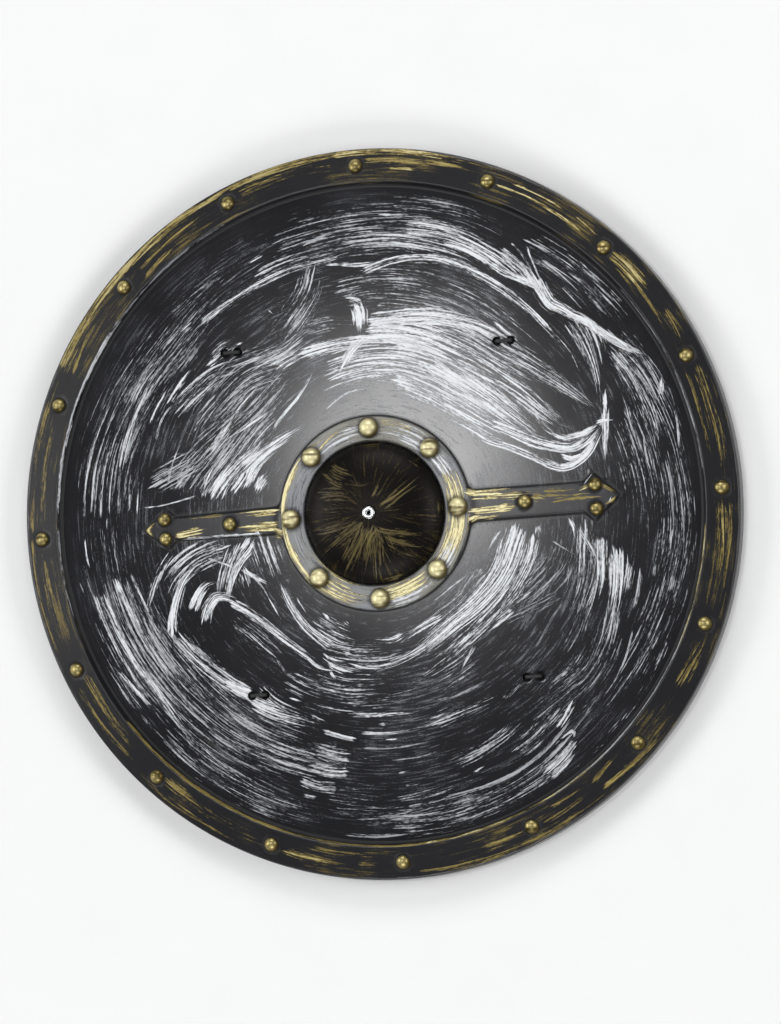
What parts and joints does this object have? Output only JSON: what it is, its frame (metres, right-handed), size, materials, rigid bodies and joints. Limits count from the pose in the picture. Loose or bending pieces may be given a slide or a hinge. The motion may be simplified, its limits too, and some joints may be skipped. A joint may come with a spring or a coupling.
{
  "type": "buckler shield",
  "caption": "Round moulded costume shield with a domed boss in a ring, two raised bars with arrow ends, a banded rim with imitation rivets, and webbing straps tied on behind.",
  "frame": {"origin": "middle of the plane that the moulding's cut back edge lies on", "axes": "+Z out of the shield's face, +X along the raised bars towards the wider bar, +Y up when it is worn"},
  "size_m": [0.5, 0.5, 0.0488],
  "materials": {
    "moulded_plastic": "satin black plastic dry-brushed with silver and gold paint",
    "rivet_nickel": "bright nickel plate",
    "webbing": "woven black webbing",
    "tie_cord": "braided black cord"
  },
  "bodies": {
    "root": {"shield_shell": "moulded_plastic", "boss_rivet": "rivet_nickel", "strap_left": "webbing", "strap_right": "webbing", "tie_upper_left": "tie_cord", "tie_lower_left": "tie_cord", "tie_upper_right": "tie_cord", "tie_lower_right": "tie_cord"}
  },
  "joints": []
}
